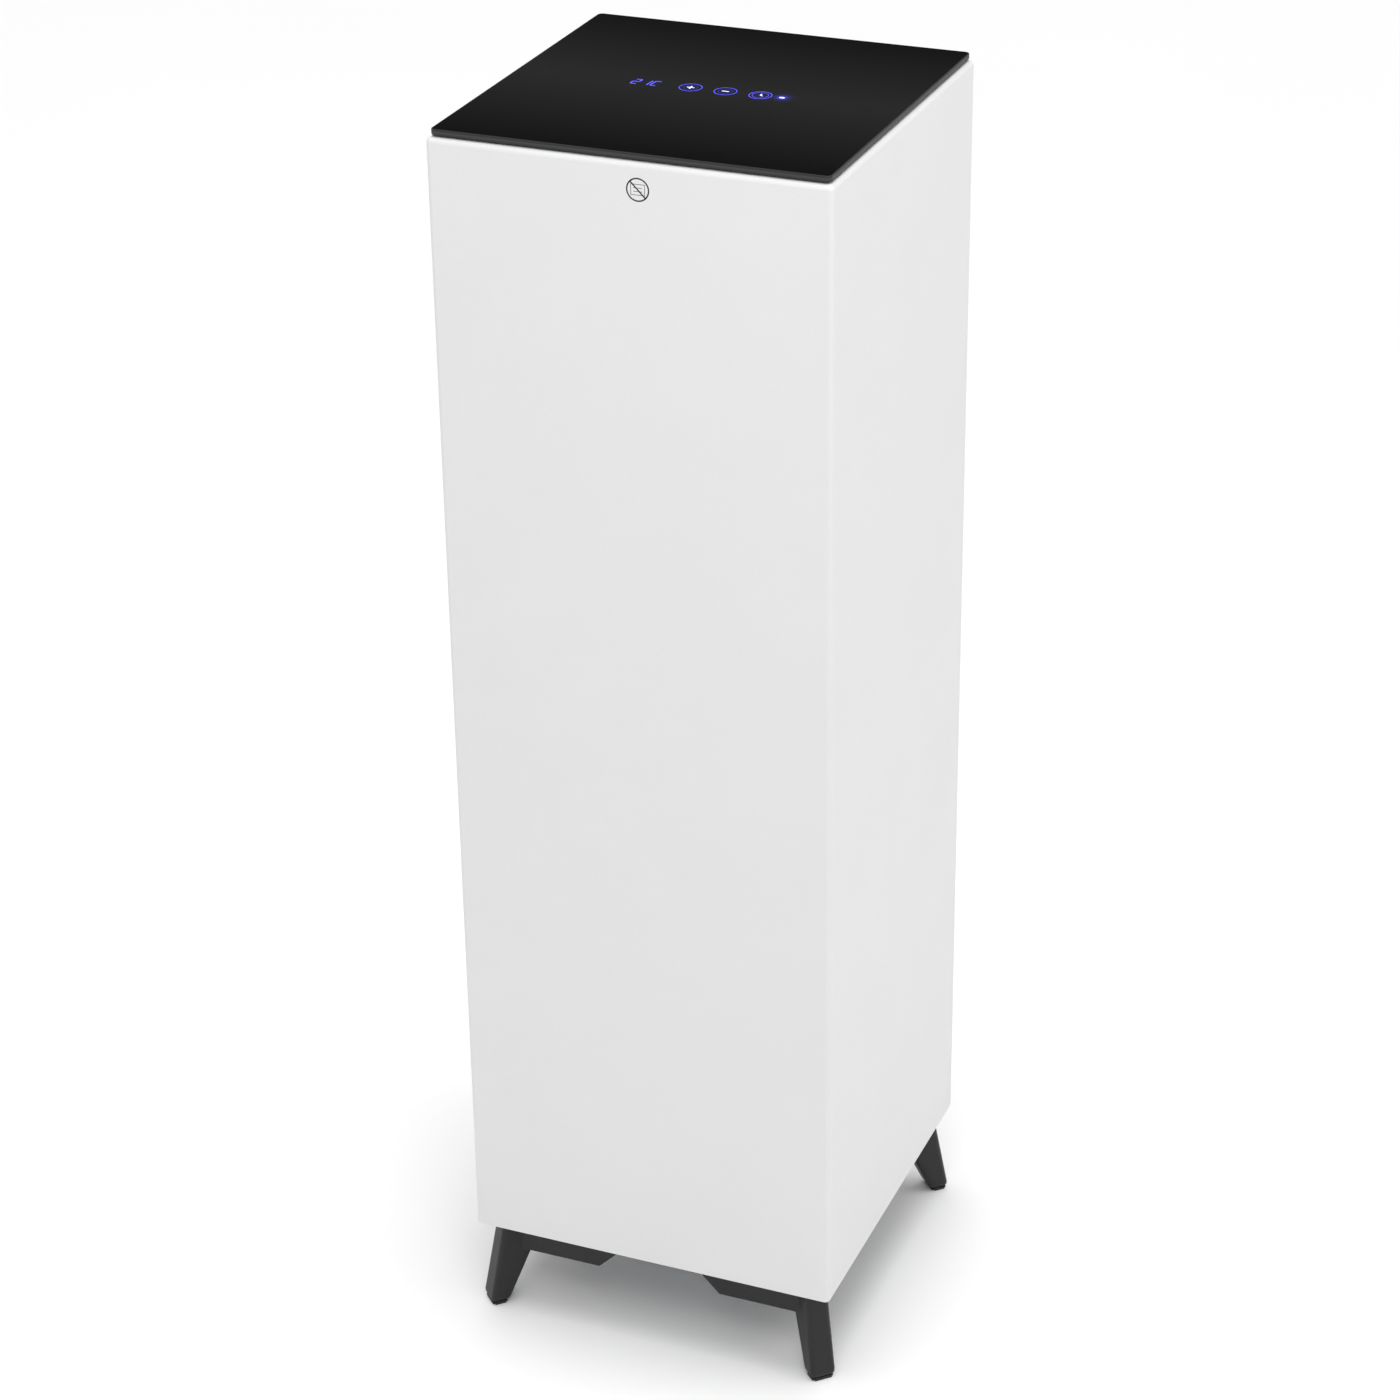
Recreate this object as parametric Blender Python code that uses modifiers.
"""Free-standing tower air purifier with a warm-air stage, built as separate named parts.

Frame: metres, origin on the floor under the middle of the cabinet, +X to the right of the
front panel, the front faces -Y, +Z up.  Air enters through the filter cassette low in the
back, the centrifugal fan lifts it through the duct and the heater, and it leaves through
the outlet grille high in the back.
"""
import math

import bmesh
import bpy
from mathutils import Matrix, Vector

# ---- driving dimensions (metres) ---------------------------------------------------------
WIDTH = 0.260                 # cabinet, square in plan
CABINET_HEIGHT = 0.7852
FOOT_HEIGHT = 0.068
SHEET = 0.0015                # painted sheet steel of the cabinet
PLATE = 0.0012                # thinner galvanised sheet inside
WALL = 0.0018                 # moulded plastic walls of the air path
BEND = 0.0035                 # outside radius of the folds in the sheet
FLANGE = 0.014                # width of the cabinet's return round the back
GAP = 0.0003                  # clearance between parts that touch

HALF = WIDTH / 2
FLOOR_Z = FOOT_HEIGHT                       # lower edge of the cabinet
ROOF_Z = FOOT_HEIGHT + CABINET_HEIGHT       # upper edge of the cabinet
INSIDE = HALF - SHEET                       # inner face of the cabinet walls

# ---- glass top and what lies under it ----------------------------------------------------
GLASS_RISE = 0.0050           # top of the glass above the cabinet's upper edge
GLASS_THICK = 0.0040
GLASS_HALF = HALF - 0.0023
GLASS_CORNER = 0.0035
GLASS_Z = ROOF_Z + GLASS_RISE - GLASS_THICK
GASKET_HALF = GLASS_HALF - 0.0025
GASKET_BAND = 0.026
ROOF_OPENING = 0.108          # half width of the hole in the cabinet's roof
TRAY_HALF = 0.106
TRAY_DEPTH = 0.0195
TRAY_WALL = 0.002
RIB_HEIGHT = 0.0105
KEY_ROW_Y = 0.0               # the row of keys crosses the middle of the glass
READOUT_X = -0.0403
PLUS_X = -0.0111
MINUS_X = 0.0119
TIMER_X = 0.0349
STATUS_X = 0.0490
KEY_RING_RADIUS = 0.0073
BOARD_HALF_WIDTH = 0.075
BOARD_HALF_DEPTH = 0.037
BOARD_THICK = 0.0016
BOARD_Z = ROOF_Z - TRAY_DEPTH + TRAY_WALL + RIB_HEIGHT + GAP

# ---- feet --------------------------------------------------------------------------------
POST_OUT_FLOOR = 0.1785       # outer face of a post, measured along the cabinet's diagonal
POST_OUT_TOP = 0.1660
POST_IN_FLOOR = 0.1644
POST_IN_TOP = 0.1330
POST_HALF_FLOOR = 0.0093
POST_HALF_TOP = 0.0082
POST_ROUND = 0.0028
PAD_HEIGHT = 0.0022
ARM_FACE = 0.1144             # outer face of the bracket arms, from the cabinet's middle
ARM_THICK = 0.014
ARM_DROP = 0.026              # height of the arms
ARM_END = 0.0189              # where the arms end, at their top

# ---- filter bay and cassette in the lower back -------------------------------------------
REAR_FACE = INSIDE - GAP      # outer face of the rear panel
REAR_PANEL_HALF = 0.1262
REAR_MARGIN = 0.001           # between the rear panel and what it frames
BAY_X = 0.1105
BAY_LOW = 0.1215
BAY_HIGH = 0.4585
BAY_FRONT = 0.0620
BAY_HOLE_RADIUS = 0.066
CASSETTE_X = 0.1065
CASSETTE_LOW = 0.1255
CASSETTE_HIGH = 0.4545
CASSETTE_FRONT = 0.0690
CASSETTE_REAR = 0.1292
CASSETTE_WALL = 0.002
CASSETTE_FACE = 0.003
SHELF_LOW = 0.4100            # ledge between the filters and the finger pull
SHELF_HIGH = 0.4130
PULL_HALF = 0.040
PULL_LOW = 0.4200
PULL_HIGH = 0.4450
PULL_DEPTH = 0.014
INTAKE_SLOT_HEIGHT = 0.008
INTAKE_SLOT_PITCH = 0.0145
INTAKE_SLOTS = 18
PLEATS = 30
CARBON_FRONT = 0.1040
CARBON_REAR = 0.1145
PREFILTER_FRONT = 0.1155
PREFILTER_REAR = 0.1180

# ---- fan ---------------------------------------------------------------------------------
FAN_X = 0.0
FAN_Z = 0.275
SCROLL_FRONT = -0.0080
SCROLL_REAR = 0.0610
SCROLL_START = math.radians(80)             # angle of the cut-off tongue
SCROLL_RADIUS_START = 0.094
SCROLL_RADIUS_END = 0.120
SCROLL_EXIT_Z = 0.4150
SCROLL_EYE_RADIUS = 0.0715
IMPELLER_RADIUS = 0.086
IMPELLER_EYE = 0.058
IMPELLER_DISC_Y = 0.0
IMPELLER_SHROUD_Y = 0.0395
BLADE_THICK = 0.0018
BLADES = 9
SHAFT_RADIUS = 0.004
BEARING_RADIUS = 0.011
BEARING_WIDTH = 0.007
MOTOR_RADIUS = 0.036
MOTOR_BOSS = 0.016            # raised seat round the motor's shaft
MOTOR_REAR = -0.0107
MOTOR_FRONT = -0.0520
MOTOR_PLATE_RADIUS = 0.055
BUSH_CIRCLE = 0.046
BUSH_RADIUS = 0.005
BUSH_BORE = 0.0018
BUSH_LENGTH = 0.006
RING_BAND = 0.004             # half width of the rubber ring that joins the bushes
PLATE_THICK = 0.002           # of the motor plate
ROUND = 40                    # segments of a large turned part
SMALL_ROUND = 24
BUSH_ROUND = 16

# ---- duct, heater and outlet -------------------------------------------------------------
DUCT_HALF = 0.100
DUCT_TOP = 0.5400
HEATER_TOP = 0.5852
HEATER_WALL = 0.003
HEATER_BAR_DEPTH = 0.018
HEATER_BAR_HEIGHT = 0.024
HEATER_FINS = 26
HOOD_REAR = 0.1262
OUTLET_X = 0.098
OUTLET_LOW = 0.640
OUTLET_HIGH = 0.776
OUTLET_SLOTS = 9
OUTLET_SLOT_HEIGHT = 0.0085

# ---- electrics ---------------------------------------------------------------------------
BOX_X = 0.070
BOX_FRONT = -0.0460
BOX_LOW = 0.4450
BOX_HIGH = 0.5300
INLET_X = 0.085
ROCKER_X = 0.040
POWER_Z = 0.100
INLET_HALF = (0.0135, 0.0098)
PIN_PITCH = 0.007
PIN_HALF = (0.001, 0.002)
ROCKER_HALF = (0.0065, 0.0096)
ROCKER_SWING = math.radians(8)              # either side of level
LEAD_RADIUS = 0.0026
ROCKER_AXIS_Y = REAR_FACE - 0.0005
SENSOR_X = -0.075
SENSOR_LOW = 0.500

FINISHES = {                  # colour, roughness, metallic
    "white_steel": ((0.86, 0.86, 0.85), 0.45, 0.0),
    "zinc_sheet": ((0.62, 0.64, 0.66), 0.38, 1.0),
    "black_glass": ((0.006, 0.006, 0.007), 0.06, 0.0),
    "black_plastic": ((0.030, 0.030, 0.031), 0.50, 0.0),
    "grey_plastic": ((0.20, 0.21, 0.22), 0.50, 0.0),
    "white_plastic": ((0.80, 0.80, 0.79), 0.42, 0.0),
    "rubber": ((0.018, 0.018, 0.018), 0.85, 0.0),
    "foam": ((0.05, 0.05, 0.055), 0.95, 0.0),
    "filter_paper": ((0.88, 0.88, 0.84), 0.92, 0.0),
    "carbon": ((0.020, 0.020, 0.021), 0.90, 0.0),
    "mesh": ((0.10, 0.10, 0.11), 0.80, 0.0),
    "steel": ((0.60, 0.60, 0.60), 0.28, 1.0),
    "aluminium": ((0.78, 0.79, 0.80), 0.35, 1.0),
    "circuit_board": ((0.02, 0.14, 0.06), 0.45, 0.0),
    "lens": ((0.55, 0.62, 0.95), 0.25, 0.0),
    "cable": ((0.05, 0.05, 0.05), 0.60, 0.0),
}


# ---- helpers -----------------------------------------------------------------------------
def clear_scene():
    for obj in list(bpy.data.objects):
        bpy.data.objects.remove(obj, do_unlink=True)


def new_collection(name):
    collection = bpy.data.collections.new(name)
    bpy.context.scene.collection.children.link(collection)
    return collection


def part_material(name, finish):
    """The part's own Principled material, from the table of finishes."""
    colour, roughness, metallic = FINISHES[finish]
    material = bpy.data.materials.new(name + "_" + finish)
    material.use_nodes = True
    shader = material.node_tree.nodes["Principled BSDF"]
    shader.inputs["Base Color"].default_value = (*colour, 1.0)
    shader.inputs["Roughness"].default_value = roughness
    shader.inputs["Metallic"].default_value = metallic
    material.diffuse_color = (*colour, 1.0)
    return material


def place_mesh(name, bm, origin, collection):
    """Make an object of a bmesh drawn in world coordinates, with its origin at a point."""
    bmesh.ops.translate(bm, verts=bm.verts, vec=-Vector(origin))
    mesh = bpy.data.meshes.new(name)
    bm.to_mesh(mesh)
    bm.free()
    obj = bpy.data.objects.new(name, mesh)
    obj.location = origin
    collection.objects.link(obj)
    return obj


def middle(bm):
    low = Vector([min(v.co[i] for v in bm.verts) for i in range(3)])
    high = Vector([max(v.co[i] for v in bm.verts) for i in range(3)])
    return (low + high) / 2


def add_part(name, bm, finish, origin=None):
    """A named part of the object, shaded smooth where its faces meet at a shallow angle."""
    obj = place_mesh(name, bm, middle(bm) if origin is None else origin, parts)
    obj.data.shade_smooth()
    obj.data.set_sharp_from_angle(angle=math.radians(35))
    obj.data.materials.append(part_material(name, finish))
    return obj


def boolean(target, bm, operation, label):
    """Cut from, or join to, a part another closed shape, which is kept as a guide."""
    tool = place_mesh(target.name + "_" + label, bm, middle(bm), cutters)
    tool.hide_render = True
    tool.display_type = "WIRE"
    modifier = target.modifiers.new(label, "BOOLEAN")
    modifier.operation = operation
    modifier.solver = "EXACT"
    modifier.object = tool


def cut(target, bm, label):
    boolean(target, bm, "DIFFERENCE", label)


def join(target, bm, label):
    boolean(target, bm, "UNION", label)


def add_box(bm, low, high):
    """Add a box between two corners to a bmesh, and return its vertices."""
    low = Vector(low)
    high = Vector(high)
    matrix = Matrix.Translation((low + high) / 2) @ Matrix.Diagonal((*(high - low), 1.0))
    return bmesh.ops.create_cube(bm, size=1.0, matrix=matrix)["verts"]


def box(low, high, radius=0.0, segments=2, keep=None):
    """One box between two corners, its edges (or those that keep() picks) rounded."""
    bm = bmesh.new()
    add_box(bm, low, high)
    if radius > 0:
        edges = [e for e in bm.edges if keep is None or keep(e)]
        bmesh.ops.bevel(bm, geom=edges, offset=radius, segments=segments, profile=0.5, affect="EDGES")
    return bm


def is_upright(edge):
    """True for an edge that runs along Z."""
    run = edge.verts[0].co - edge.verts[1].co
    return abs(run.z) > max(abs(run.x), abs(run.y))


def along_y(edge):
    run = edge.verts[0].co - edge.verts[1].co
    return abs(run.y) > max(abs(run.x), abs(run.z))


def add_cylinder(bm, centre, radius, depth, segments, axis="Z"):
    """A capped cylinder centred on a point, along X, Y or Z."""
    turn = {"X": Matrix.Rotation(math.radians(90), 4, "Y"), "Y": Matrix.Rotation(math.radians(-90), 4, "X"),
            "Z": Matrix.Identity(4)}[axis]
    bmesh.ops.create_cone(bm, cap_ends=True, segments=segments, radius1=radius, radius2=radius, depth=depth,
                          matrix=Matrix.Translation(centre) @ turn)


def cylinder(centre, radius, depth, segments, axis="Z"):
    """A mesh that holds one capped cylinder."""
    bm = bmesh.new()
    add_cylinder(bm, centre, radius, depth, segments, axis)
    return bm


def tapered_box(lower, upper, low_z, high_z):
    """A box whose lower and upper rectangles (x0, x1, y0, y1) differ."""
    bm = bmesh.new()
    verts = bmesh.ops.create_cube(bm, size=1.0)["verts"]
    for vert in verts:
        rect = upper if vert.co.z > 0 else lower
        x = rect[1] if vert.co.x > 0 else rect[0]
        y = rect[3] if vert.co.y > 0 else rect[2]
        vert.co = (x, y, high_z if vert.co.z > 0 else low_z)
    return bm


def extruded(points, depth, matrix):
    """A closed flat outline, filled and thickened, then moved by a matrix, as a bmesh."""
    curve = bpy.data.curves.new("outline", "CURVE")
    curve.dimensions = "2D"
    curve.fill_mode = "BOTH"
    curve.extrude = depth / 2
    spline = curve.splines.new("POLY")
    spline.points.add(len(points) - 1)
    for point, (x, y) in zip(spline.points, points):
        point.co = (x, y, 0.0, 1.0)
    spline.use_cyclic_u = True
    holder = bpy.data.objects.new("outline", curve)
    cutters.objects.link(holder)
    bpy.context.view_layer.update()
    evaluated = holder.evaluated_get(bpy.context.evaluated_depsgraph_get())
    mesh = bpy.data.meshes.new_from_object(evaluated)
    bm = bmesh.new()
    bm.from_mesh(mesh)
    bpy.data.objects.remove(holder, do_unlink=True)
    bmesh.ops.remove_doubles(bm, verts=bm.verts, dist=0.000001)
    bmesh.ops.transform(bm, matrix=matrix, verts=bm.verts)
    bmesh.ops.recalc_face_normals(bm, faces=bm.faces)
    return bm


def facing_y(y):
    """Stands an outline drawn in (x, z) upright at depth y."""
    return Matrix.Translation((0, y, 0)) @ Matrix.Rotation(math.radians(90), 4, "X")


def facing_x(x):
    """Stands an outline drawn in (y, z) upright, facing along X, at position x."""
    return Matrix(((0, 0, 1, x), (1, 0, 0, 0), (0, 1, 0, 0), (0, 0, 0, 1)))


def arc(centre, radius, start, end, steps):
    """Points on a circular arc, angles in radians, both ends included."""
    points = []
    for i in range(steps + 1):
        angle = start + (end - start) * i / steps
        points.append((centre[0] + radius * math.cos(angle), centre[1] + radius * math.sin(angle)))
    return points


def turned(name, profile, finish, centre, segments, axis="Y"):
    """A turned part from a closed (radius, height) profile whose outer side runs downward."""
    mesh = bpy.data.meshes.new(name)
    edges = [(i, (i + 1) % len(profile)) for i in range(len(profile))]
    mesh.from_pydata([(radius, 0.0, height) for radius, height in profile], edges, [])
    obj = bpy.data.objects.new(name, mesh)
    parts.objects.link(obj)
    obj.location = centre
    if axis == "Y":
        obj.rotation_euler = (math.radians(-90), 0.0, 0.0)
    screw = obj.modifiers.new("turn", "SCREW")
    screw.axis = "Z"
    screw.steps = segments
    screw.render_steps = segments
    screw.use_merge_vertices = True
    screw.merge_threshold = 0.00001
    screw.use_smooth_shade = True
    mesh.materials.append(part_material(name, finish))
    return obj


def ring_profile(inner, outer, low, high):
    """The rectangular profile of a plain ring."""
    return [(outer, high), (outer, low), (inner, low), (inner, high)]


def tube(name, points, radius, finish):
    """A round lead through points, drawn as a smooth line with filled ends."""
    curve = bpy.data.curves.new(name, "CURVE")
    curve.dimensions = "3D"
    curve.bevel_depth = radius
    curve.bevel_resolution = 2
    curve.use_fill_caps = True
    curve.resolution_u = 1
    spline = curve.splines.new("POLY")
    path = smooth_path(points, 3)
    spline.points.add(len(path) - 1)
    for point, co in zip(spline.points, path):
        point.co = (*co, 1.0)
    obj = bpy.data.objects.new(name, curve)
    parts.objects.link(obj)
    curve.materials.append(part_material(name, finish))
    return obj


def smooth_path(points, steps):
    """Points on a Catmull-Rom curve through the given ones."""
    knots = [Vector(p) for p in points]
    knots = [knots[0] * 2 - knots[1]] + knots + [knots[-1] * 2 - knots[-2]]
    path = []
    for a, b, c, d in zip(knots, knots[1:], knots[2:], knots[3:]):
        for i in range(steps):
            t = i / steps
            path.append(0.5 * (2 * b + (c - a) * t + (2 * a - 5 * b + 4 * c - d) * t * t
                               + (3 * b - a - 3 * c + d) * t * t * t))
    path.append(knots[-2])
    return path


# ---- cabinet -----------------------------------------------------------------------------
def is_fold(edge):
    """True for the uprights and the roof edges of the cabinet, but not its lower edges."""
    low = min(v.co.z for v in edge.verts)
    return is_upright(edge) or low > (FLOOR_Z + ROOF_Z) / 2


def cabinet_shell():
    """Front, two sides and roof in one folded sheet, with a return flange round the back."""
    shell = add_part("cabinet_shell", box((-HALF, -HALF, FLOOR_Z), (HALF, HALF, ROOF_Z), BEND, 4, is_fold),
                     "white_steel")
    cut(shell,
        box((-INSIDE, -INSIDE, FLOOR_Z - SHEET), (INSIDE, INSIDE, ROOF_Z - SHEET), BEND - SHEET, 3, is_fold),
        "hollow")
    cut(shell,
        box((-HALF + FLANGE, INSIDE - BEND, FLOOR_Z - SHEET), (HALF - FLANGE, HALF + SHEET, ROOF_Z - FLANGE)),
        "back")
    cut(shell,
        box((-ROOF_OPENING, -ROOF_OPENING, ROOF_Z - BEND), (ROOF_OPENING, ROOF_OPENING, ROOF_Z + SHEET)),
        "roof")


def base_pan():
    """Folded tray that closes the bottom and carries the feet."""
    low = FLOOR_Z + GAP
    high = low + 0.016
    side = INSIDE - GAP
    rear = INSIDE - GAP - PLATE - 0.0005
    radius = 0.0026
    pan = add_part("base_pan", box((-side, -side, low), (side, rear, high), radius, 3, is_upright),
                   "zinc_sheet")
    inner = box((-side + SHEET, -side + SHEET, low + SHEET), (side - SHEET, rear - SHEET, high + SHEET),
                radius - SHEET, 2, is_upright)
    cut(pan, inner, "tray")


def rear_panel():
    """Flat back sheet behind the flange: it frames the cassette from above and holds the outlet."""
    low = CASSETTE_LOW - REAR_MARGIN + GAP
    panel = add_part("rear_panel", box((-REAR_PANEL_HALF, REAR_FACE - PLATE, low),
                                       (REAR_PANEL_HALF, REAR_FACE, ROOF_Z - 0.004)), "white_steel")
    windows = bmesh.new()
    front = REAR_FACE - PLATE - REAR_MARGIN
    rear = REAR_FACE + REAR_MARGIN
    add_box(windows, (-CASSETTE_X - REAR_MARGIN, front, low - REAR_MARGIN),
            (CASSETTE_X + REAR_MARGIN, rear, CASSETTE_HIGH + REAR_MARGIN))
    add_box(windows, (-OUTLET_X, front, OUTLET_LOW), (OUTLET_X, rear, OUTLET_HIGH))
    for i in range(3):
        z = SENSOR_LOW + 0.008 + 0.010 * i
        add_box(windows, (SENSOR_X - 0.012, front, z), (SENSOR_X + 0.012, rear, z + 0.003))
    cut(panel, windows, "windows")


def service_plate():
    """Lower back sheet, under the cassette, which carries the mains inlet and the power rocker."""
    plate = add_part("service_plate", box((-REAR_PANEL_HALF, REAR_FACE - PLATE, FLOOR_Z + REAR_MARGIN),
                                          (REAR_PANEL_HALF, REAR_FACE, CASSETTE_LOW - REAR_MARGIN)),
                     "white_steel")
    windows = bmesh.new()
    for x, half in ((INLET_X, INLET_HALF), (ROCKER_X, ROCKER_HALF)):
        wide = half[0] + GAP
        tall = half[1] + GAP
        add_box(windows, (x - wide, REAR_FACE - PLATE - REAR_MARGIN, POWER_Z - tall),
                (x + wide, REAR_FACE + REAR_MARGIN, POWER_Z + tall))
    cut(plate, windows, "windows")


# ---- glass top and controls --------------------------------------------------------------
def glass_top():
    """Tempered black glass plate with ground edges, over the whole roof."""
    grind = 0.0007
    bm = box((-GLASS_HALF, -GLASS_HALF, GLASS_Z), (GLASS_HALF, GLASS_HALF, GLASS_Z + GLASS_THICK),
             GLASS_CORNER, 4, is_upright)
    rim = [e for e in bm.edges if not is_upright(e)]
    bmesh.ops.bevel(bm, geom=rim, offset=grind, segments=1, affect="EDGES")
    add_part("glass_top", bm, "black_glass")


def glass_gasket():
    """Square band of black foam tape between the glass and the roof."""
    low = ROOF_Z + GAP
    high = GLASS_Z - GAP
    gasket = add_part("glass_gasket",
                      box((-GASKET_HALF, -GASKET_HALF, low), (GASKET_HALF, GASKET_HALF, high)),
                      "foam")
    inner = GASKET_HALF - GASKET_BAND
    cut(gasket, box((-inner, -inner, low - GAP), (inner, inner, high + GAP)), "inside")


def control_tray():
    """Moulded tray that hangs in the roof opening and carries the control board on two ribs."""
    high = ROOF_Z
    low = high - TRAY_DEPTH
    tray = add_part("control_tray", box((-TRAY_HALF, -TRAY_HALF, low), (TRAY_HALF, TRAY_HALF, high), 0.003, 2,
                                        is_upright), "black_plastic")
    inner = TRAY_HALF - TRAY_WALL
    rib = BOARD_HALF_DEPTH - 0.003
    floor = low + TRAY_WALL
    pockets = bmesh.new()
    add_box(pockets, (-inner, -inner, floor), (inner, -rib - TRAY_WALL, high + SHEET))
    add_box(pockets, (-inner, -rib, floor), (inner, rib, high + SHEET))
    add_box(pockets, (-inner, rib + TRAY_WALL, floor), (inner, inner, high + SHEET))
    cut(tray, pockets, "pockets")
    cut(tray, box((-inner, -inner + SHEET, floor + RIB_HEIGHT), (inner, inner - SHEET, high + 2 * SHEET)),
        "ribs")
    cut(tray, box((-0.094, -0.012, low - SHEET), (-0.078, 0.004, floor + SHEET)), "lead_hole")


def control_electronics():
    """Control board with the readout, three lit key rings and a status light under the glass."""
    low = BOARD_Z + BOARD_THICK + GAP
    high = GLASS_Z - 0.0007
    add_part("control_board", box((-BOARD_HALF_WIDTH, -BOARD_HALF_DEPTH, BOARD_Z),
                                  (BOARD_HALF_WIDTH, BOARD_HALF_DEPTH, BOARD_Z + BOARD_THICK)),
             "circuit_board")
    half_wide = 0.0165
    half_deep = 0.0105
    add_part("readout_module", box((READOUT_X - half_wide, KEY_ROW_Y - half_deep, low),
                                   (READOUT_X + half_wide, KEY_ROW_Y + half_deep, high)), "black_plastic")
    profile = ring_profile(KEY_RING_RADIUS - 0.0014, KEY_RING_RADIUS, 0.0, high - low)
    for name, x in (("key_ring_plus", PLUS_X), ("key_ring_minus", MINUS_X), ("key_ring_timer", TIMER_X)):
        turned(name, profile, "lens", (x, KEY_ROW_Y, low), SMALL_ROUND, "Z")
    add_part("status_light", cylinder((STATUS_X, KEY_ROW_Y, (low + high) / 2), 0.0022, high - low, 16),
             "lens")


# ---- feet --------------------------------------------------------------------------------
def corner_matrix(side, end):
    """Maps the front right corner onto any corner: side and end are +1 or -1 along X and Y."""
    return Matrix.Diagonal((side, -end, 1.0, 1.0))


def diagonal_point(out, across, z):
    """A point given by its distance out along the front right diagonal and across it."""
    root = math.sqrt(0.5)
    return Vector(((out + across) * root, (across - out) * root, z))


def post_shape(floor_z, top_z):
    """Tapered post that leans outward along the diagonal."""
    bm = bmesh.new()
    verts = bmesh.ops.create_cube(bm, size=1.0)["verts"]
    for vert in verts:
        z = top_z if vert.co.z > 0 else floor_z
        t = z / FOOT_HEIGHT
        outer = POST_OUT_FLOOR + (POST_OUT_TOP - POST_OUT_FLOOR) * t
        inner = POST_IN_FLOOR + (POST_IN_TOP - POST_IN_FLOOR) * t
        half = POST_HALF_FLOOR + (POST_HALF_TOP - POST_HALF_FLOOR) * t
        vert.co = diagonal_point(outer if vert.co.x > 0 else inner, half if vert.co.y > 0 else -half, z)
    bmesh.ops.recalc_face_normals(bm, faces=bm.faces)
    rim = [e for e in bm.edges if max(v.co.z for v in e.verts) < top_z / 2 or is_upright(e)]
    bmesh.ops.bevel(bm, geom=rim, offset=POST_ROUND, segments=3, profile=0.5, affect="EDGES")
    return bm


def arm_shape(along_x):
    """Bracket arm under the pan, its free end cut at 45 degrees."""
    bm = bmesh.new()
    verts = bmesh.ops.create_cube(bm, size=1.0)["verts"]
    for vert in verts:
        top = vert.co.z > 0
        end = ARM_END if top else ARM_END + ARM_DROP
        run = ARM_FACE if vert.co.x > 0 else end
        across = ARM_FACE if vert.co.y > 0 else ARM_FACE - ARM_THICK
        z = FOOT_HEIGHT if top else FOOT_HEIGHT - ARM_DROP
        vert.co = (run, -across, z) if along_x else (across, -run, z)
    bmesh.ops.recalc_face_normals(bm, faces=bm.faces)
    return bm


def foot(name, side, end):
    """One foot: two bracket arms at a right angle and a leaning post, moulded in one."""
    mirror = corner_matrix(side, end)

    def placed(bm):
        bmesh.ops.transform(bm, matrix=mirror, verts=bm.verts)
        bmesh.ops.recalc_face_normals(bm, faces=bm.faces)
        return bm

    part = add_part(name, placed(arm_shape(True)), "black_plastic")
    join(part, placed(arm_shape(False)), "arm")
    join(part, placed(post_shape(PAD_HEIGHT + GAP, FOOT_HEIGHT)), "post")


def foot_pad(name, side, end):
    """Rubber pad under a post."""
    inset = 0.0016
    bm = bmesh.new()
    verts = bmesh.ops.create_cube(bm, size=1.0)["verts"]
    for vert in verts:
        out = POST_OUT_FLOOR - inset if vert.co.x > 0 else POST_IN_FLOOR + inset
        across = (POST_HALF_FLOOR - inset) * (1 if vert.co.y > 0 else -1)
        vert.co = diagonal_point(out, across, PAD_HEIGHT if vert.co.z > 0 else 0.0)
    bmesh.ops.transform(bm, matrix=corner_matrix(side, end), verts=bm.verts)
    bmesh.ops.recalc_face_normals(bm, faces=bm.faces)
    bmesh.ops.bevel(bm, geom=[e for e in bm.edges if is_upright(e)], offset=0.0015, segments=2,
                    affect="EDGES")
    add_part(name, bm, "rubber")


def feet():
    corners = (("front_left", -1, -1), ("front_right", 1, -1), ("rear_left", -1, 1), ("rear_right", 1, 1))
    for place, side, end in corners:
        foot("foot_" + place, side, end)
        foot_pad("foot_pad_" + place, side, end)


# ---- filter bay --------------------------------------------------------------------------
def filter_bay():
    """Sheet box that guides the cassette; a round hole in its front feeds the fan."""
    rear = REAR_FACE - PLATE - GAP
    bay = add_part("filter_bay", box((-BAY_X, BAY_FRONT, BAY_LOW), (BAY_X, rear, BAY_HIGH)), "zinc_sheet")
    cut(bay, box((-BAY_X + PLATE, BAY_FRONT + PLATE, BAY_LOW + PLATE),
                 (BAY_X - PLATE, rear + PLATE, BAY_HIGH - PLATE)), "inside")
    cut(bay, cylinder((FAN_X, BAY_FRONT, FAN_Z), BAY_HOLE_RADIUS, 4 * PLATE, ROUND, "Y"), "fan_hole")


def intake_slots():
    """Two columns of level slots, as one cutter."""
    bm = bmesh.new()
    front = CASSETTE_REAR - CASSETTE_FACE - 0.001
    rear = CASSETTE_REAR + 0.001
    mullion = 0.004
    outer = 0.094
    first = CASSETTE_LOW + 0.014
    for row in range(INTAKE_SLOTS):
        z = first + row * INTAKE_SLOT_PITCH
        add_box(bm, (-outer, front, z), (-mullion, rear, z + INTAKE_SLOT_HEIGHT))
        add_box(bm, (mullion, front, z), (outer, rear, z + INTAKE_SLOT_HEIGHT))
    return bm


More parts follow.
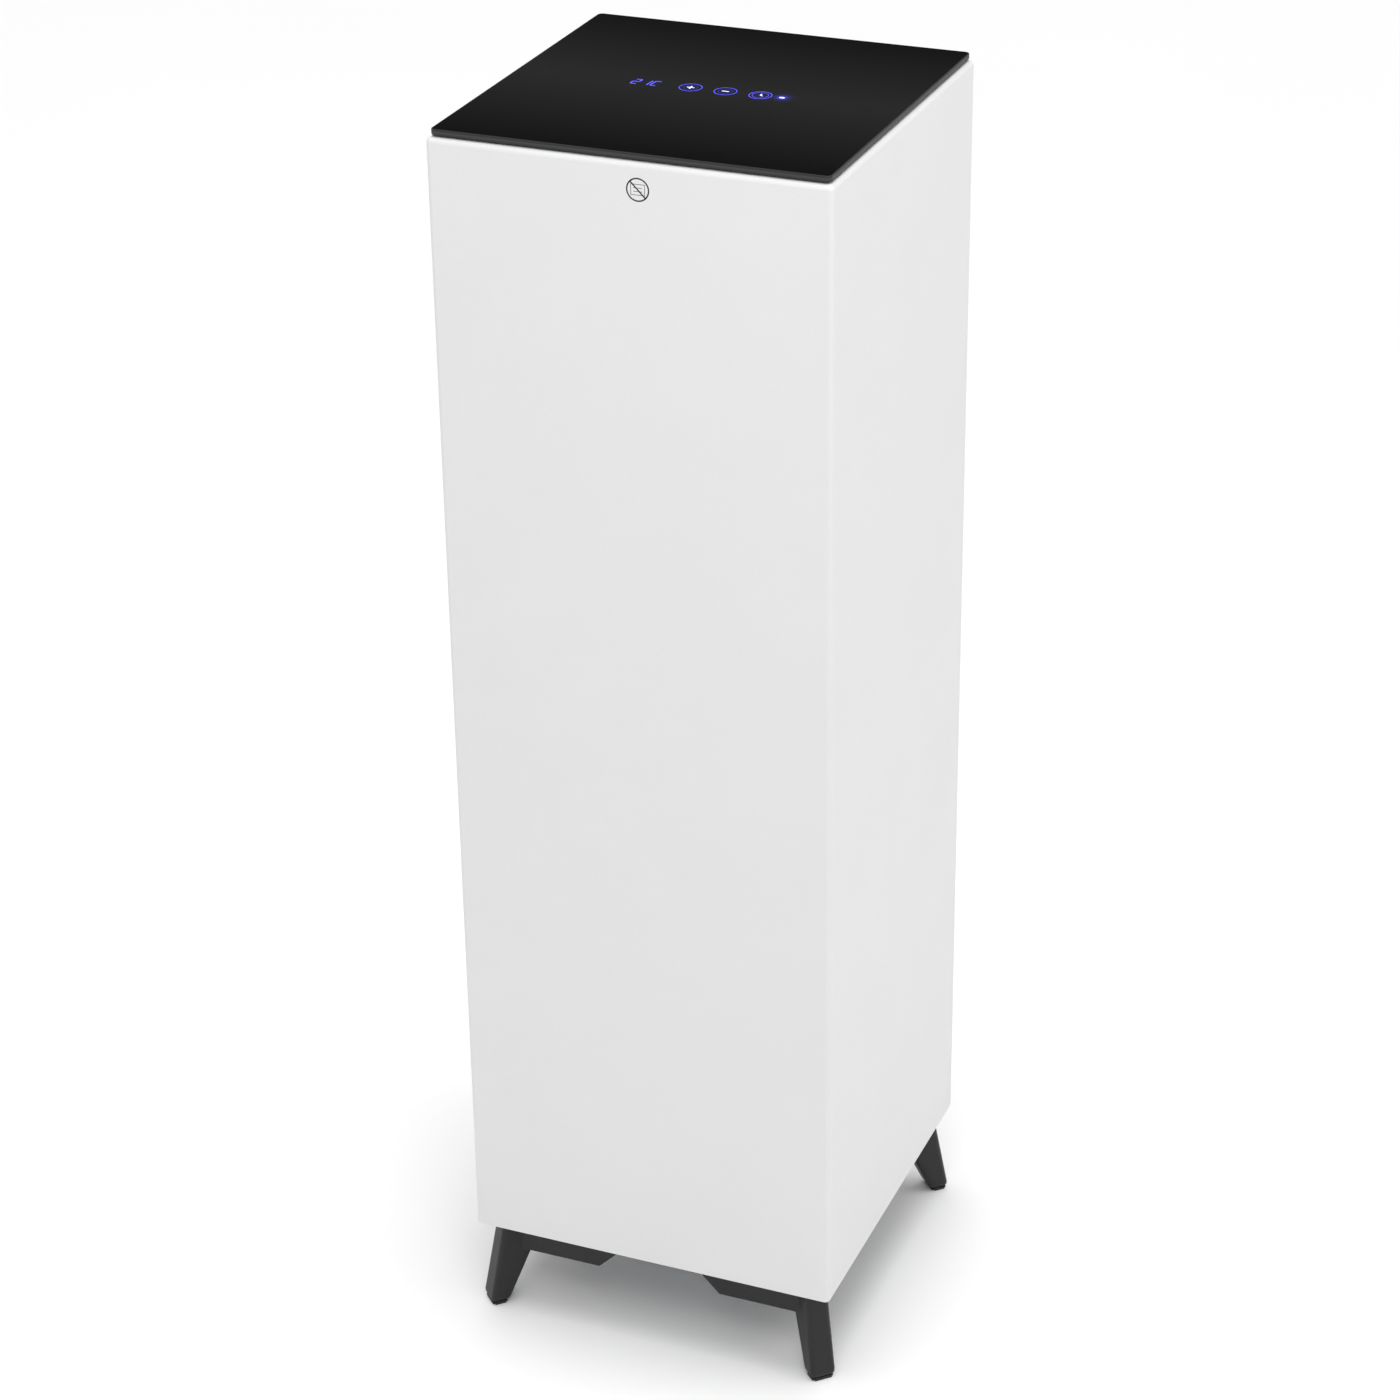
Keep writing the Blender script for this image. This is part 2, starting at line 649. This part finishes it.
def cassette_frame():
    """Moulded drawer whose louvred back is the air intake and whose front holds the filters."""
    rear_inner = CASSETTE_REAR - CASSETTE_FACE
    inner = CASSETTE_X - CASSETTE_WALL
    frame = add_part("cassette_frame", box((-CASSETTE_X, CASSETTE_FRONT, CASSETTE_LOW),
                                           (CASSETTE_X, CASSETTE_REAR, CASSETTE_HIGH), 0.0015, 2, along_y),
                     "white_plastic")
    rooms = bmesh.new()
    front = CASSETTE_FRONT - CASSETTE_WALL
    add_box(rooms, (-inner, front, CASSETTE_LOW + CASSETTE_WALL), (inner, rear_inner, SHELF_LOW))
    cup = PULL_DEPTH + CASSETTE_WALL
    add_box(rooms, (-inner, front, SHELF_HIGH), (inner, CASSETTE_REAR - cup, CASSETTE_HIGH - CASSETTE_WALL))
    cut(frame, rooms, "rooms")
    for side in (-1, 1):
        x0, x1 = sorted((side * (PULL_HALF + CASSETTE_WALL), side * inner))
        cut(frame, box((x0, CASSETTE_REAR - cup - CASSETTE_WALL, SHELF_HIGH),
                       (x1, rear_inner, CASSETTE_HIGH - CASSETTE_WALL)), "hollow_%d" % (side + 1))
    cut(frame,
        box((-PULL_HALF, CASSETTE_REAR - PULL_DEPTH, PULL_LOW), (PULL_HALF, CASSETTE_REAR + SHEET, PULL_HIGH),
                   0.004, 3, along_y), "finger_pull")
    cut(frame, intake_slots(), "slots")


def pleated_filter():
    """Fine particle filter: one deep-folded sheet, drawn as its zigzag outline."""
    half = CASSETTE_X - CASSETTE_WALL - 0.001
    front = CASSETTE_FRONT + 0.0015
    rear = front + 0.032
    low = CASSETTE_LOW + CASSETTE_WALL + 0.001
    high = SHELF_LOW - 0.001
    fold = 0.005
    step = 2 * half / (2 * PLEATS)
    near_side = [(-half + i * step, front + (fold if i % 2 else 0.0)) for i in range(2 * PLEATS + 1)]
    far_side = [(x, y + rear - front - fold) for x, y in reversed(near_side)]
    bm = extruded(near_side + far_side, high - low, Matrix.Translation((0, 0, (low + high) / 2)))
    add_part("pleated_filter", bm, "filter_paper")


def flat_filters():
    """Carbon panel and mesh prefilter, one behind the other towards the slots."""
    half = CASSETTE_X - CASSETTE_WALL - 0.001
    low = CASSETTE_LOW + CASSETTE_WALL + 0.001
    high = SHELF_LOW - 0.001
    add_part("carbon_filter", box((-half, CARBON_FRONT, low), (half, CARBON_REAR, high)), "carbon")
    add_part("prefilter", box((-half, PREFILTER_FRONT, low), (half, PREFILTER_REAR, high), 0.0008, 1), "mesh")


def cassette_seal():
    """Foam ring that closes the gap between the cassette and the bay."""
    front = BAY_FRONT + PLATE + 0.0006
    rear = CASSETTE_FRONT - GAP
    outer = CASSETTE_X - 0.001
    seal = add_part("cassette_seal",
                    box((-outer, front, CASSETTE_LOW + 0.001), (outer, rear, CASSETTE_HIGH - 0.001)),
                    "foam")
    band = 0.008
    cut(seal, box((-outer + band, front - PLATE, CASSETTE_LOW + band),
                  (outer - band, rear + PLATE, SHELF_LOW - band / 2)), "inside")


def catches():
    """Magnets in the cassette's upper room and the steel strikes on the bay that hold them."""
    radius = 0.006
    low = CASSETTE_HIGH - 0.024
    for place, side in (("left", -1), ("right", 1)):
        x = side * 0.080
        y = CASSETTE_FRONT + 0.012
        add_part("catch_magnet_" + place, box((x - 0.012, y - radius, low), (x + 0.012, y + radius,
                 CASSETTE_HIGH - CASSETTE_WALL - GAP), 0.0008, 1), "steel")
        top = BAY_HIGH + GAP
        add_part("catch_strike_" + place,
                 box((x - 0.015, y - 0.010, top), (x + 0.015, y + 0.010, top + 0.002),
                 0.0005, 1), "zinc_sheet")


# ---- fan ---------------------------------------------------------------------------------
def scroll_outline(grow):
    """Spiral round the fan that opens into an upward outlet; grow moves the walls outward."""
    points = []
    steps = 28
    end = math.radians(360)
    for i in range(steps + 1):
        t = i / steps
        angle = SCROLL_START + (end - SCROLL_START) * t
        radius = SCROLL_RADIUS_START + (SCROLL_RADIUS_END - SCROLL_RADIUS_START) * t + grow
        points.append((FAN_X + radius * math.cos(angle), FAN_Z + radius * math.sin(angle)))
    tongue_x = points[0][0] - grow
    over = SCROLL_EXIT_Z + (0.0 if grow > 0 else WALL)
    points.append((SCROLL_RADIUS_END + FAN_X + grow, over))
    points.append((tongue_x, over))
    return points


def fan_scroll():
    """Scroll housing of the fan, open at the top, with a round eye towards the filters."""
    depth = SCROLL_REAR - SCROLL_FRONT
    centre = (SCROLL_REAR + SCROLL_FRONT) / 2
    scroll = add_part("fan_scroll", extruded(scroll_outline(WALL), depth, facing_y(centre)), "black_plastic")
    cut(scroll, extruded(scroll_outline(0.0), depth - 2 * WALL, facing_y(centre)), "inside")
    cut(scroll, cylinder((FAN_X, SCROLL_REAR, FAN_Z), SCROLL_EYE_RADIUS, 4 * WALL, ROUND, "Y"), "eye")
    cut(scroll, cylinder((FAN_X, SCROLL_FRONT, FAN_Z), MOTOR_BOSS, 4 * WALL, SMALL_ROUND, "Y"), "shaft_hole")


def inlet_ring():
    """Bell mouth that leads the air from the bay into the impeller's eye."""
    thick = 0.0015
    flare = 0.0125
    throat = IMPELLER_EYE - 0.003
    low = 0.0430
    high = SCROLL_REAR + GAP
    curve = arc((throat + flare, high - flare), flare, math.pi, math.pi / 2, 6)
    inner = [(throat, low)] + curve
    outer = [(r + thick, z) for r, z in inner[:-1]] + [(throat + flare + thick, high - thick)]
    turned("inlet_ring", list(reversed(outer)) + inner, "black_plastic", (FAN_X, 0.0, FAN_Z), ROUND)


def blade_outline(index):
    """One backward-curved blade, an arc strip from the hub to the rim."""
    inner = 0.040
    outer = IMPELLER_RADIUS - 0.001
    sweep = math.radians(-48)
    steps = 6
    start = 2 * math.pi * index / BLADES
    near = []
    far = []
    for i in range(steps + 1):
        t = i / steps
        radius = inner + (outer - inner) * t
        angle = start + sweep * t
        shift = BLADE_THICK / radius / 2
        near.append((FAN_X + radius * math.cos(angle - shift), FAN_Z + radius * math.sin(angle - shift)))
        far.append((FAN_X + radius * math.cos(angle + shift), FAN_Z + radius * math.sin(angle + shift)))
    return near + list(reversed(far))


def impeller():
    """Centrifugal impeller: back disc with its hub, backward-curved blades and a front shroud."""
    disc = 0.002
    wheel = turned("impeller",
                   [(IMPELLER_RADIUS, disc), (IMPELLER_RADIUS, 0.0), (0.013, 0.0), (0.013, -0.004),
                                (SHAFT_RADIUS + GAP, -0.004), (SHAFT_RADIUS + GAP, 0.014), (0.013, 0.014),
                                (0.020, disc)],
                   "grey_plastic", (FAN_X, IMPELLER_DISC_Y, FAN_Z), ROUND)
    blades = bmesh.new()
    blade_low = IMPELLER_DISC_Y + disc / 2
    blade_high = IMPELLER_SHROUD_Y + disc / 2
    for index in range(BLADES):
        blade = extruded(blade_outline(index), blade_high - blade_low, facing_y((blade_low + blade_high) / 2))
        mesh = bpy.data.meshes.new("blade")
        blade.to_mesh(mesh)
        blade.free()
        blades.from_mesh(mesh)
        bpy.data.meshes.remove(mesh)
    join(wheel, blades, "blades")
    shroud = cylinder((FAN_X, IMPELLER_SHROUD_Y + disc / 2, FAN_Z), IMPELLER_RADIUS, disc, ROUND, "Y")
    join(wheel, shroud, "shroud")
    cut(wheel, cylinder((FAN_X, IMPELLER_SHROUD_Y + disc, FAN_Z), IMPELLER_EYE, 4 * disc, ROUND, "Y"), "eye")


def motor():
    """Fan motor with its two bearings, shaft, clamp nut, mounting plate and rubber ring with bushes."""
    length = MOTOR_REAR - MOTOR_FRONT
    step = 0.003
    bore = SHAFT_RADIUS + GAP
    seat = BEARING_RADIUS + GAP
    turned("motor_body", [(MOTOR_BOSS, length), (MOTOR_RADIUS - step, length), (MOTOR_RADIUS, length - step),
                          (MOTOR_RADIUS, step), (MOTOR_RADIUS - step, 0.0), (seat, 0.0),
                          (seat, BEARING_WIDTH),
                          (bore, BEARING_WIDTH), (bore, length - BEARING_WIDTH),
                          (seat, length - BEARING_WIDTH),
                          (seat, length)],
           "steel", (FAN_X, MOTOR_FRONT, FAN_Z), SMALL_ROUND)
    for name, y in (("bearing_front", MOTOR_FRONT), ("bearing_rear", MOTOR_REAR - BEARING_WIDTH + GAP)):
        turned(name, ring_profile(bore, BEARING_RADIUS, 0.0, BEARING_WIDTH - GAP), "steel", (FAN_X, y, FAN_Z),
               SMALL_ROUND)
    shaft_front = MOTOR_FRONT - 0.004
    shaft_rear = 0.019
    add_part("motor_shaft", cylinder((FAN_X, (shaft_front + shaft_rear) / 2, FAN_Z), SHAFT_RADIUS,
                                     shaft_rear - shaft_front, SMALL_ROUND, "Y"),
             "steel", (FAN_X, MOTOR_REAR, FAN_Z))
    flat_bore = bore / math.cos(math.pi / 6)
    turned("clamp_nut", ring_profile(flat_bore, 0.009, 0.0, 0.004), "steel", (FAN_X, 0.0143, FAN_Z), 6)
    plate_rear = SCROLL_FRONT - GAP
    plate = add_part("motor_plate", cylinder((FAN_X, plate_rear - PLATE_THICK / 2, FAN_Z), MOTOR_PLATE_RADIUS,
                                             PLATE_THICK, ROUND, "Y"), "zinc_sheet")
    holes = cylinder((FAN_X, plate_rear, FAN_Z), MOTOR_BOSS, BUSH_LENGTH * 2, SMALL_ROUND, "Y")
    bushes = bmesh.new()
    bores = bmesh.new()
    for index in range(3):
        angle = math.radians(90 + 120 * index)
        centre = (FAN_X + BUSH_CIRCLE * math.cos(angle), plate_rear - BUSH_LENGTH / 2,
                  FAN_Z + BUSH_CIRCLE * math.sin(angle))
        add_cylinder(holes, centre, BUSH_RADIUS + GAP, BUSH_LENGTH * 2, BUSH_ROUND, "Y")
        add_cylinder(bushes, centre, BUSH_RADIUS, BUSH_LENGTH, BUSH_ROUND, "Y")
        add_cylinder(bores, centre, BUSH_BORE, BUSH_LENGTH * 2, BUSH_ROUND, "Y")
    cut(plate, holes, "holes")
    depth = BUSH_LENGTH - PLATE_THICK - GAP
    ring_centre = (FAN_X, plate_rear - BUSH_LENGTH + depth / 2, FAN_Z)
    mount = add_part("motor_mount_ring", cylinder(ring_centre, BUSH_CIRCLE + RING_BAND, depth, ROUND, "Y"),
                     "rubber")
    cut(mount, cylinder(ring_centre, BUSH_CIRCLE - RING_BAND, BUSH_LENGTH, ROUND, "Y"), "middle")
    join(mount, bushes, "bushes")
    cut(mount, bores, "bores")


# ---- duct, heater and outlet -------------------------------------------------------------
def duct_section(t, shrink):
    """Inside or outside rectangle of the widening duct, t from 0 at the fan to 1 at the heater."""
    fan_left = FAN_X + SCROLL_RADIUS_START * math.cos(SCROLL_START) - WALL
    fan_right = FAN_X + SCROLL_RADIUS_END + WALL
    left = fan_left + (-DUCT_HALF - fan_left) * t + shrink
    right = fan_right + (DUCT_HALF - fan_right) * t - shrink
    return (left, right, SCROLL_FRONT + shrink, SCROLL_REAR - shrink)


def air_duct():
    """Diffuser that widens from the fan's outlet to the heater's full width."""
    low = SCROLL_EXIT_Z + GAP
    high = DUCT_TOP
    duct = add_part("air_duct", tapered_box(duct_section(0, 0), duct_section(1, 0), low, high),
                    "black_plastic")
    over = 0.01
    run = high - low
    cut(duct, tapered_box(duct_section(-over, WALL), duct_section(1 + over, WALL), low - over * run,
                          high + over * run), "inside")


def heater():
    """Ceramic heater: an open frame, three finned bars and a thermal cut-out on its front."""
    low = DUCT_TOP + GAP
    frame = add_part("heater_frame",
                     box((-DUCT_HALF, SCROLL_FRONT, low), (DUCT_HALF, SCROLL_REAR, HEATER_TOP)),
                     "grey_plastic")
    cut(frame, box((-DUCT_HALF + HEATER_WALL, SCROLL_FRONT + HEATER_WALL, low - WALL),
                   (DUCT_HALF - HEATER_WALL, SCROLL_REAR - HEATER_WALL, HEATER_TOP + WALL)), "inside")
    half = DUCT_HALF - HEATER_WALL - GAP
    bar_low = (low + HEATER_TOP - HEATER_BAR_HEIGHT) / 2
    room = SCROLL_REAR - SCROLL_FRONT - 2 * HEATER_WALL
    spare = (room - 3 * HEATER_BAR_DEPTH) / 4
    rail = 0.002
    pitch = 2 * (half - rail) / HEATER_FINS
    fin = 0.0012
    for index, place in enumerate(("front", "middle", "rear")):
        y = SCROLL_FRONT + HEATER_WALL + spare + index * (HEATER_BAR_DEPTH + spare)
        bar = add_part("heater_bar_" + place, box((-half, y, bar_low), (half, y + HEATER_BAR_DEPTH,
                       bar_low + HEATER_BAR_HEIGHT)), "aluminium")
        slots = bmesh.new()
        for i in range(HEATER_FINS):
            x = -half + rail + i * pitch
            add_box(slots, (x + fin / 2, y + rail, bar_low - rail),
                    (x + pitch - fin / 2, y + HEATER_BAR_DEPTH - rail, bar_low + HEATER_BAR_HEIGHT + rail))
        cut(bar, slots, "fins")
    cutout_rear = SCROLL_FRONT - GAP
    add_part("thermal_cutout",
             box((0.030, cutout_rear - 0.009, low + 0.012), (0.052, cutout_rear, low + 0.030),
                                   0.0015, 2), "white_plastic")


def hood_outline(shrink):
    """Side view of the hood that turns the rising air to the back, in (y, z)."""
    front = SCROLL_FRONT + shrink
    neck = SCROLL_REAR - shrink
    top = OUTLET_HIGH + 0.008 - shrink
    lip = OUTLET_LOW - 0.008 + shrink
    low = HEATER_TOP + GAP - (WALL if shrink else 0.0)
    rear = HOOD_REAR + (WALL if shrink else 0.0)
    big = 0.070 - shrink
    small = 0.022 + shrink
    points = [(front, low), (neck, low)]
    points += arc((neck + small, lip - small), small, math.pi, math.pi / 2, 6)
    points += [(rear, lip), (rear, top)]
    points += arc((front + big, top - big), big, math.pi / 2, math.pi, 8)
    return points


def outlet_hood():
    """Elbow over the heater that ends behind the outlet grille."""
    hood = add_part("outlet_hood", extruded(hood_outline(0.0), 2 * DUCT_HALF, facing_x(0.0)), "black_plastic")
    cut(hood, extruded(hood_outline(WALL), 2 * (DUCT_HALF - WALL), facing_x(0.0)), "inside")


def outlet_grille():
    """Louvred plate in the upper window of the rear panel."""
    clear = 0.0008
    rear = CASSETTE_REAR
    front = rear - 0.0026
    low = OUTLET_LOW + clear
    high = OUTLET_HIGH - clear
    half = OUTLET_X - clear
    grille = add_part("outlet_grille", box((-half, front, low), (half, rear, high), 0.002, 2, along_y),
                      "black_plastic")
    slots = bmesh.new()
    margin = 0.008
    pitch = (high - low - 2 * margin) / OUTLET_SLOTS
    for row in range(OUTLET_SLOTS):
        z = low + margin + (row + 0.5) * pitch - OUTLET_SLOT_HEIGHT / 2
        for side in (-1, 1):
            x0, x1 = sorted((side * 0.003, side * (half - margin)))
            add_box(slots, (x0, front - clear, z), (x1, rear + clear, z + OUTLET_SLOT_HEIGHT))
    cut(grille, slots, "slots")


# ---- electrics ---------------------------------------------------------------------------
def electronics_box():
    """Closed box on the front of the duct with the power board in it."""
    rear = SCROLL_FRONT - GAP
    lid = 0.002
    front = BOX_FRONT + lid + GAP
    tray = add_part("electronics_box",
                    box((-BOX_X, front, BOX_LOW), (BOX_X, rear, BOX_HIGH), 0.002, 2, along_y),
                    "grey_plastic")
    cut(tray, box((-BOX_X + lid, front - lid, BOX_LOW + lid), (BOX_X - lid, rear - lid, BOX_HIGH - lid)),
        "inside")
    add_part("electronics_lid",
             box((-BOX_X, BOX_FRONT, BOX_LOW), (BOX_X, BOX_FRONT + lid, BOX_HIGH), 0.0005, 1),
             "grey_plastic")
    board = add_part("power_board", box((-BOX_X + 0.005, rear - 0.010, BOX_LOW + 0.005),
                                        (BOX_X - 0.005, rear - 0.0084, BOX_HIGH - 0.005)), "circuit_board")
    deck = rear - 0.0095
    components = bmesh.new()
    for x0, x1, z0, z1, height in ((-0.055, -0.030, 0.458, 0.490, 0.020),
                                   (-0.020, 0.004, 0.496, 0.516, 0.014),
                                   (0.020, 0.052, 0.456, 0.474, 0.012)):
        add_box(components, (x0, deck - height, z0), (x1, deck, z1))
    join(board, components, "components")


def sensors():
    """Particle sensor behind its own slots, and the tip-over switch on the pan."""
    rear = REAR_FACE - PLATE - GAP
    add_part("dust_sensor", box((SENSOR_X - 0.022, rear - 0.020, SENSOR_LOW), (SENSOR_X + 0.022, rear,
             SENSOR_LOW + 0.036), 0.0012, 1), "black_plastic")
    low = FLOOR_Z + GAP + SHEET + GAP
    add_part("tip_over_switch", box((-0.092, 0.020, low), (-0.066, 0.040, low + 0.024), 0.0015, 2),
             "white_plastic")


def mains_inlet():
    """Three-pin appliance inlet: flange outside the plate, body behind it, pins on their own carrier."""
    wide, tall = INLET_HALF
    brim = 0.0025
    rear = REAR_FACE + GAP + 0.0013
    front = REAR_FACE - 0.026
    inlet = add_part("mains_inlet",
                     box((INLET_X - wide, front, POWER_Z - tall), (INLET_X + wide, rear - 0.0005,
                     POWER_Z + tall)), "black_plastic")
    flange = box((INLET_X - wide - brim, REAR_FACE + GAP, POWER_Z - tall - brim),
                 (INLET_X + wide + brim, rear, POWER_Z + tall + brim), 0.0015, 2, along_y)
    join(inlet, flange, "flange")
    depth = 0.017
    lip = 0.0018
    cut(inlet, box((INLET_X - wide + lip, rear - depth, POWER_Z - tall + lip),
                   (INLET_X + wide - lip, rear + lip, POWER_Z + tall - lip), 0.003, 2, along_y), "socket")
    floor = rear - depth + GAP
    carrier_half = PIN_PITCH + 0.0025
    carrier = add_part("pin_carrier", box((INLET_X - carrier_half, floor, POWER_Z - 0.0025),
                                          (INLET_X + carrier_half, floor + 0.0015, POWER_Z + 0.0045)),
                       "steel")
    for place, rise in ((-1, -0.0004), (0, 0.0015), (1, -0.0004)):
        x = INLET_X + place * PIN_PITCH
        z = POWER_Z + rise
        join(carrier, box((x - PIN_HALF[0], floor + GAP, z - PIN_HALF[1]),
                          (x + PIN_HALF[0], rear - 0.003, z + PIN_HALF[1])), "pin")


def power_switch():
    """Mains switch: a framed body and a rocker that tips about its own pin line."""
    wide, tall = ROCKER_HALF
    brim = 0.002
    rear = REAR_FACE + GAP + 0.0013
    front = REAR_FACE - 0.016
    frame = add_part("switch_frame",
                     box((ROCKER_X - wide, front, POWER_Z - tall), (ROCKER_X + wide, rear - 0.0005,
                     POWER_Z + tall)), "black_plastic")
    flange = box((ROCKER_X - wide - brim, REAR_FACE + GAP, POWER_Z - tall - brim),
                 (ROCKER_X + wide + brim, rear, POWER_Z + tall + brim), 0.001, 2, along_y)
    join(frame, flange, "flange")
    wall = 0.0012
    cut(frame, box((ROCKER_X - wide + wall, rear - 0.012, POWER_Z - tall + wall),
                   (ROCKER_X + wide - wall, rear + wall, POWER_Z + tall - wall)), "well")
    half = wide - wall - 0.0004
    reach = tall - wall - 0.0009
    rise = 0.0022
    drop = 0.0045
    outline = [(0.0008, -reach), (rise, -reach * 0.55), (rise - 0.0008, 0.0), (rise, reach * 0.55),
               (0.0008, reach),
               (-drop * 0.6, reach * 0.86), (-drop, 0.0), (-drop * 0.6, -reach * 0.86)]
    rocker = add_part("power_rocker", extruded(outline, 2 * half, facing_x(0.0)), "black_plastic",
                      (0.0, 0.0, 0.0))
    rocker.location = (ROCKER_X, ROCKER_AXIS_Y, POWER_Z)
    rocker.rotation_euler = (ROCKER_SWING, 0.0, 0.0)


def leads():
    """Inner leads: mains entry to the electronics box, and from there up to the control board."""
    tube("mains_lead", [(INLET_X, 0.0985, POWER_Z), (INLET_X, 0.080, 0.0985), (0.098, 0.040, 0.096),
                        (0.108, -0.010, 0.104), (0.112, -0.040, 0.150), (0.112, -0.048, 0.260),
                        (0.110, -0.048, 0.370), (0.104, -0.036, 0.450), (0.088, -0.027, 0.478),
                        (BOX_X + 0.0005, -0.026, 0.480)],
         LEAD_RADIUS, "cable")
    tube("control_lead", [(-BOX_X - 0.0005, -0.026, 0.480), (-0.086, -0.027, 0.484), (-0.102, -0.030, 0.510),
                          (-0.108, -0.030, 0.580), (-0.108, -0.026, 0.680), (-0.104, -0.014, 0.770),
                          (-0.090, -0.006, 0.815), (-0.086, -0.004, ROOF_Z - TRAY_DEPTH - PLATE)],
         LEAD_RADIUS, "cable")


clear_scene()
parts = new_collection("air_purifier")
cutters = new_collection("cutters")
cabinet_shell()
base_pan()
rear_panel()
service_plate()
glass_top()
glass_gasket()
control_tray()
control_electronics()
feet()
filter_bay()
cassette_frame()
pleated_filter()
flat_filters()
cassette_seal()
catches()
fan_scroll()
inlet_ring()
impeller()
motor()
air_duct()
heater()
outlet_hood()
outlet_grille()
electronics_box()
sensors()
mains_inlet()
power_switch()
leads()
